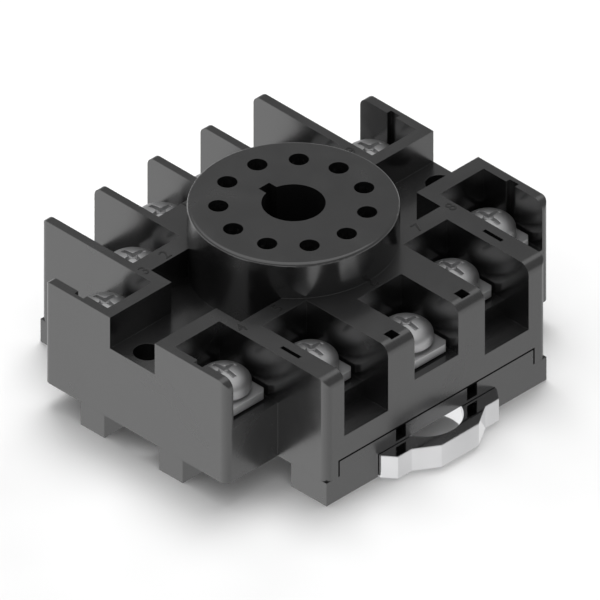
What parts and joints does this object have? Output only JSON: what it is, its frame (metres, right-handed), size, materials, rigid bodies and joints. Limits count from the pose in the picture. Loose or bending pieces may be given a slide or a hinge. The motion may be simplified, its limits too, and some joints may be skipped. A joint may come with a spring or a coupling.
{
  "type": "relay socket",
  "caption": "Plug-in relay socket with screw terminals round a keyed pin circle, for a mounting rail or a panel.",
  "frame": {"origin": "on the receptacle's axis, in the plane where the base sits on the mounting rail, midway between the two panel screw holes", "axes": "+X towards the release clip, Y along the mounting rail, +Z along the receptacle's axis towards the relay"},
  "size_m": [0.0554, 0.0578, 0.0244],
  "materials": {
    "black_moulding": "satin black moulding",
    "clip_metal": "bright nickel plating",
    "terminal_steel": "zinc plated, slightly dull",
    "fixing_steel": "zinc plated",
    "spring_steel": "plain spring steel",
    "contact_metal": "nickel plated brass"
  },
  "bodies": {
    "socket": {"housing": "black_moulding", "base": "black_moulding", "base_screws": "fixing_steel", "clip_spring_1": "spring_steel", "clip_spring_2": "spring_steel", "contact_1": "contact_metal", "contact_2": "contact_metal", "contact_3": "contact_metal", "contact_4": "contact_metal", "contact_5": "contact_metal", "contact_6": "contact_metal", "contact_7": "contact_metal", "contact_8": "contact_metal", "contact_9": "contact_metal", "contact_10": "contact_metal", "contact_11": "contact_metal"},
    "rail_clip": {"rail_clip": "clip_metal"},
    "clamp_plate_1": {"clamp_plate_1": "terminal_steel"},
    "terminal_screw_1": {"terminal_screw_1": "terminal_steel"},
    "clamp_plate_2": {"clamp_plate_2": "terminal_steel"},
    "terminal_screw_2": {"terminal_screw_2": "terminal_steel"},
    "clamp_plate_3": {"clamp_plate_3": "terminal_steel"},
    "terminal_screw_3": {"terminal_screw_3": "terminal_steel"},
    "clamp_plate_4": {"clamp_plate_4": "terminal_steel"},
    "terminal_screw_4": {"terminal_screw_4": "terminal_steel"},
    "clamp_plate_5": {"clamp_plate_5": "terminal_steel"},
    "terminal_screw_5": {"terminal_screw_5": "terminal_steel"},
    "clamp_plate_6": {"clamp_plate_6": "terminal_steel"},
    "terminal_screw_6": {"terminal_screw_6": "terminal_steel"},
    "clamp_plate_7": {"clamp_plate_7": "terminal_steel"},
    "terminal_screw_7": {"terminal_screw_7": "terminal_steel"},
    "clamp_plate_8": {"clamp_plate_8": "terminal_steel"},
    "terminal_screw_8": {"terminal_screw_8": "terminal_steel"},
    "clamp_plate_9": {"clamp_plate_9": "terminal_steel"},
    "terminal_screw_9": {"terminal_screw_9": "terminal_steel"},
    "clamp_plate_10": {"clamp_plate_10": "terminal_steel"},
    "terminal_screw_10": {"terminal_screw_10": "terminal_steel"},
    "clamp_plate_11": {"clamp_plate_11": "terminal_steel"},
    "terminal_screw_11": {"terminal_screw_11": "terminal_steel"}
  },
  "joints": [
    {"name": "clip_slide", "type": "slide", "parent": "socket", "child": "rail_clip", "axis": [1, 0, 0], "range_m": [0, 0.0035], "stiffness_N_per_m": 1500, "springref_m": -0.001, "deforming": ["clip_spring_1", "clip_spring_2"]},
    {"name": "clamp_lift_1", "type": "slide", "parent": "socket", "child": "clamp_plate_1", "axis": [0, 0, 1], "range_m": [0, 0.0018]},
    {"name": "screw_turn_1", "type": "hinge", "parent": "clamp_plate_1", "child": "terminal_screw_1", "pos_m": [-0.019, -0.00473, 0.01], "axis": [0, 0, 1], "range_deg": [0, 1085]},
    {"name": "clamp_lift_2", "type": "slide", "parent": "socket", "child": "clamp_plate_2", "axis": [0, 0, 1], "range_m": [0, 0.0018]},
    {"name": "screw_turn_2", "type": "hinge", "parent": "clamp_plate_2", "child": "terminal_screw_2", "pos_m": [-0.0145, -0.01421, 0.01], "axis": [0, 0, 1], "range_deg": [0, 1085]},
    {"name": "clamp_lift_3", "type": "slide", "parent": "socket", "child": "clamp_plate_3", "axis": [0, 0, 1], "range_m": [0, 0.0018]},
    {"name": "screw_turn_3", "type": "hinge", "parent": "clamp_plate_3", "child": "terminal_screw_3", "pos_m": [-0.01005, -0.02363, 0.01], "axis": [0, 0, 1], "range_deg": [0, 1085]},
    {"name": "clamp_lift_4", "type": "slide", "parent": "socket", "child": "clamp_plate_4", "axis": [0, 0, 1], "range_m": [0, 0.0018]},
    {"name": "screw_turn_4", "type": "hinge", "parent": "clamp_plate_4", "child": "terminal_screw_4", "pos_m": [0.0112, -0.02363, 0.01], "axis": [0, 0, 1], "range_deg": [0, 1085]},
    {"name": "clamp_lift_5", "type": "slide", "parent": "socket", "child": "clamp_plate_5", "axis": [0, 0, 1], "range_m": [0, 0.0018]},
    {"name": "screw_turn_5", "type": "hinge", "parent": "clamp_plate_5", "child": "terminal_screw_5", "pos_m": [0.0157, -0.01255, 0.01], "axis": [0, 0, 1], "range_deg": [0, 1085]},
    {"name": "clamp_lift_6", "type": "slide", "parent": "socket", "child": "clamp_plate_6", "axis": [0, 0, 1], "range_m": [0, 0.0018]},
    {"name": "screw_turn_6", "type": "hinge", "parent": "clamp_plate_6", "child": "terminal_screw_6", "pos_m": [0.0201, 0, 0.01], "axis": [0, 0, 1], "range_deg": [0, 1085]},
    {"name": "clamp_lift_7", "type": "slide", "parent": "socket", "child": "clamp_plate_7", "axis": [0, 0, 1], "range_m": [0, 0.0018]},
    {"name": "screw_turn_7", "type": "hinge", "parent": "clamp_plate_7", "child": "terminal_screw_7", "pos_m": [0.0157, 0.01255, 0.01], "axis": [0, 0, 1], "range_deg": [0, 1085]},
    {"name": "clamp_lift_8", "type": "slide", "parent": "socket", "child": "clamp_plate_8", "axis": [0, 0, 1], "range_m": [0, 0.0018]},
    {"name": "screw_turn_8", "type": "hinge", "parent": "clamp_plate_8", "child": "terminal_screw_8", "pos_m": [0.0112, 0.02363, 0.01], "axis": [0, 0, 1], "range_deg": [0, 1085]},
    {"name": "clamp_lift_9", "type": "slide", "parent": "socket", "child": "clamp_plate_9", "axis": [0, 0, 1], "range_m": [0, 0.0018]},
    {"name": "screw_turn_9", "type": "hinge", "parent": "clamp_plate_9", "child": "terminal_screw_9", "pos_m": [-0.01005, 0.02363, 0.01], "axis": [0, 0, 1], "range_deg": [0, 1085]},
    {"name": "clamp_lift_10", "type": "slide", "parent": "socket", "child": "clamp_plate_10", "axis": [0, 0, 1], "range_m": [0, 0.0018]},
    {"name": "screw_turn_10", "type": "hinge", "parent": "clamp_plate_10", "child": "terminal_screw_10", "pos_m": [-0.0145, 0.01421, 0.01], "axis": [0, 0, 1], "range_deg": [0, 1085]},
    {"name": "clamp_lift_11", "type": "slide", "parent": "socket", "child": "clamp_plate_11", "axis": [0, 0, 1], "range_m": [0, 0.0018]},
    {"name": "screw_turn_11", "type": "hinge", "parent": "clamp_plate_11", "child": "terminal_screw_11", "pos_m": [-0.019, 0.00473, 0.01], "axis": [0, 0, 1], "range_deg": [0, 1085]}
  ],
  "couplings": [
    {"joint": "screw_turn_1", "follows": "clamp_lift_1", "rad_per_m": 10472},
    {"joint": "screw_turn_2", "follows": "clamp_lift_2", "rad_per_m": 10472},
    {"joint": "screw_turn_3", "follows": "clamp_lift_3", "rad_per_m": 10472},
    {"joint": "screw_turn_4", "follows": "clamp_lift_4", "rad_per_m": 10472},
    {"joint": "screw_turn_5", "follows": "clamp_lift_5", "rad_per_m": 10472},
    {"joint": "screw_turn_6", "follows": "clamp_lift_6", "rad_per_m": 10472},
    {"joint": "screw_turn_7", "follows": "clamp_lift_7", "rad_per_m": 10472},
    {"joint": "screw_turn_8", "follows": "clamp_lift_8", "rad_per_m": 10472},
    {"joint": "screw_turn_9", "follows": "clamp_lift_9", "rad_per_m": 10472},
    {"joint": "screw_turn_10", "follows": "clamp_lift_10", "rad_per_m": 10472},
    {"joint": "screw_turn_11", "follows": "clamp_lift_11", "rad_per_m": 10472}
  ]
}
